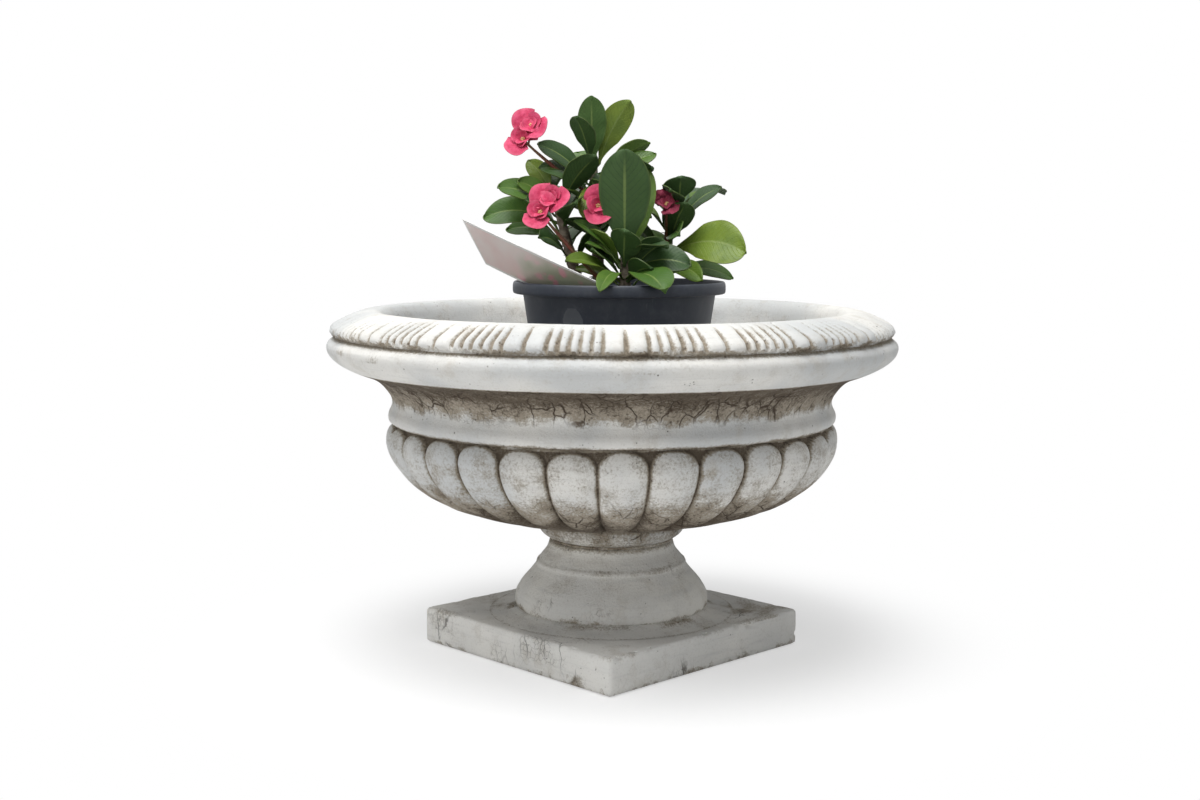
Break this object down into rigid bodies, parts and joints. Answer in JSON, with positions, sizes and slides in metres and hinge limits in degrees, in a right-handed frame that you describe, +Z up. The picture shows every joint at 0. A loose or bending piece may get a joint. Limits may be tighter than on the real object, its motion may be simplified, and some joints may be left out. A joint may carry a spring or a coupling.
{
  "type": "urn planter",
  "caption": "Cast-stone garden urn: gadrooned bowl with a fluted rim on a turned foot and square plinth, holding a potted flowering plant with a blank label.",
  "frame": {"origin": "centre of the plinth's underside, on the urn's axis", "axes": "+Z up along the urn's axis; +X and +Y square to the plinth's sides, so that a corner of the plinth lies between -X and +Y, and the picture's view comes from between +X and -Y"},
  "size_m": [0.562, 0.5618, 0.5485],
  "materials": {
    "plinth_stone": "rough cast stone, weathered",
    "mortar": "trowelled cement mortar",
    "foot_stone": "rough cast stone, weathered",
    "bowl_stone": "cast stone with brown patina in the recesses",
    "pot_plastic": "dark slate, moulded, matte",
    "compost": "damp, crumbly",
    "bark": "rough grey-brown stems",
    "leaf": "leathery, half gloss",
    "stalk": "smooth red-brown",
    "bract": "soft, matte",
    "label_card": "printed plastic card, left blank"
  },
  "bodies": {
    "urn": {"plinth": "plinth_stone", "plinth_mortar": "mortar", "foot": "foot_stone", "bowl_mortar": "mortar", "bowl": "bowl_stone"},
    "potted_plant": {"nursery_pot": "pot_plastic", "potting_mix": "compost", "stems": "bark", "leaves": "leaf", "flower_stalks": "stalk", "flowers": "bract"},
    "plant_label": {"plant_label": "label_card"}
  },
  "joints": [
    {"name": "pot_lift", "type": "slide", "parent": "urn", "child": "potted_plant", "axis": [0, 0, 1], "range_m": [0, 0.25]},
    {"name": "label_pull", "type": "slide", "parent": "potted_plant", "child": "plant_label", "axis": [0.0893, -0.55, 0.8304], "range_m": [0, 0.1]}
  ]
}
